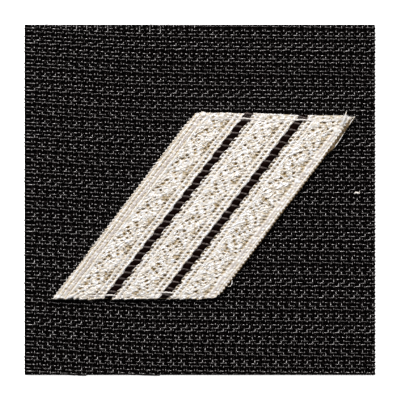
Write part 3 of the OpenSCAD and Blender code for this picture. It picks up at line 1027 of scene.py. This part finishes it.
def makeFringe(f):
    # u = the edge + its strays + out + sway + wider, where wider grows to extra over a millimetre,
    # and radius = (radius + wider) (1 + beads sin(2 pi v / pick))
    v = np.arange(f["from"], f["to"], f["step"])
    right = stripes["right"]
    edge = right["start"] + right["width"]
    u = edge + strays(right, "rightSide", edge, v) + f["out"] + smoothNoise(v, *f["sway"])
    h = f["height"] + smoothNoise(v, *f["heave"])
    wider = f["extra"] * np.clip(v - f["above"], 0, 1)
    r = (f["radius"] + wider) * (1 + f["beads"] * np.sin(2 * math.pi * v / braid["pick"]))
    part = tube(onCloth(u + wider, v, h), r, f["radius"], f["sides"])
    return addPiece("fringeThread", part, fringeThread)


# Short ends of the bands' threads past the upper sewing thread
bandEnds = {
    "count": 7, "length": 0.9, "radius": 0.05, "points": 5, "sides": 5, "spread": (0.15, 0.85),
    "stray": 0.04, "short": 0.05, "uneven": 0.12, "bend": 0.12, "height": 0.5, "rise": 0.04, "droop": 0.15,
}


def makeBandEnds(b):
    # v = top - length (1 - t), bent across by bend t^2 and down by droop t^2, with t from 0 to 1
    t = np.linspace(0, 1, b["points"])
    parts = []
    for spec in bands.values():
        for place in np.linspace(*b["spread"], b["count"]):
            u = spec["start"] + place * spec["width"] + rng.normal(0, b["stray"])
            top = float(cuts(np.array(u))[1]) + rng.normal(-b["short"], b["uneven"])
            v = top - b["length"] * np.linspace(1, 0, b["points"])
            bend = rng.normal(0, b["bend"]) * t ** 2
            h = b["height"] + b["rise"] * rng.normal(0, 1) - b["droop"] * t ** 2
            parts.append(tube(onCloth(u + bend, v, h), b["radius"], b["radius"], b["sides"]))
    return addPiece("bandEnds", joined(parts), bindingThread)


# The flat foundation of the braid, cut a little inside its outline and sunk into the yarns below,
# coloured throughout with painted shade
braidFelt = {"inset": 0.12, "points": 60, "height": 0.12, "wave": 0.01, "sink": 0.02, "shade": 0.8}


def makeBraidGround(spec):
    # top = height + wave cos(2 pi along / pick)
    points, inset = spec["points"], spec["inset"]
    across = np.tile(np.linspace(inset, braid["width"] - inset, points), (points, 1))
    lower, upper = cuts(across)
    along = upBraid(lower + inset, upper - inset, points)
    height = spec["height"] + spec["wave"] * np.cos(2 * math.pi * along / braid["pick"])
    # painted shade over the whole foundation
    part = braidPad(across, along, height, np.full_like(across, spec["shade"]), spec["sink"])
    return addPiece("braidGround", part, silverThread)


braidPieces = [makeStripe(name, spec) for name, spec in stripes.items()]
braidPieces += [makeBand(name, spec) for name, spec in bands.items()]
braidPieces += [makeSewing(sewing), makeLoose(), makeFringe(fringe), makeBandEnds(bandEnds)]
braidGround = makeBraidGround(braidFelt)
print("braid made")


# Studio

studio = {
    "floor": (0.86, 0.86, 0.86), "glow": 0.6,  # lit a little from below, as on a light table
    "floorHalf": 3.0, "floorZ": -0.00002, "floorRough": 0.9, "floorGloss": 0.1,
    # watts, width, length and distance in metres, height and bearing in degrees
    "lamps": {
        "key": (1.3, 0.14, 0.14, 0.5, 50.0, 100.0),
        "strip": (1.6, 0.9, 0.2, 0.5, 54.0, 95.0),
        "overhead": (1.4, 0.7, 0.12, 0.6, 74.0, 95.0),
    },
    "room": (0.03, 0.03, 0.03),  # colour of the light from all round
}


def addLamp(name, watts, width, length, distance, height, bearing):
    # place = distance (cos height cos bearing, cos height sin bearing, sin height), and its Y is up
    lamp = bpy.data.lights.new(name, "AREA")
    lamp.shape = "RECTANGLE"
    lamp.energy, lamp.size, lamp.size_y = watts, width, length
    box = bpy.data.objects.new(name, lamp)
    up, turn = math.radians(height), math.radians(bearing)
    box.location = (distance * math.cos(up) * math.cos(turn), distance * math.cos(up) * math.sin(turn),
                    distance * math.sin(up))
    box.rotation_euler = (-box.location).to_track_quat("-Z", "Y").to_euler()
    bpy.context.collection.objects.link(box)


def makeStudio(spec):
    mesh = bpy.data.meshes.new("floor")
    r, z = spec["floorHalf"], spec["floorZ"]
    mesh.from_pydata([(-r, -r, z), (r, -r, z), (r, r, z), (-r, r, z)], [], [(0, 1, 2, 3)])
    floor = bpy.data.objects.new("floor", mesh)
    material = bpy.data.materials.new("floorPaper")
    material.use_nodes = True
    fill(material.node_tree, material.node_tree.nodes["Principled BSDF"], {
        "Base Color": (*spec["floor"], 1), "Roughness": spec["floorRough"],
        "Specular IOR Level": spec["floorGloss"],
        "Emission Color": (1, 1, 1, 1), "Emission Strength": spec["glow"],
    })
    mesh.materials.append(material)
    bpy.context.collection.objects.link(floor)
    for name, lamp in spec["lamps"].items():
        addLamp(name, *lamp)
    world = bpy.data.worlds.new("room")
    world.use_nodes = True
    world.node_tree.nodes["Background"].inputs["Color"].default_value = (*spec["room"], 1)
    bpy.context.scene.world = world
    bpy.context.scene.view_settings.view_transform = "Standard"
    bpy.context.scene.view_settings.look = "High Contrast"
    return floor


floor = makeStudio(studio)
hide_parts("backing_cloth")
print("studio made")
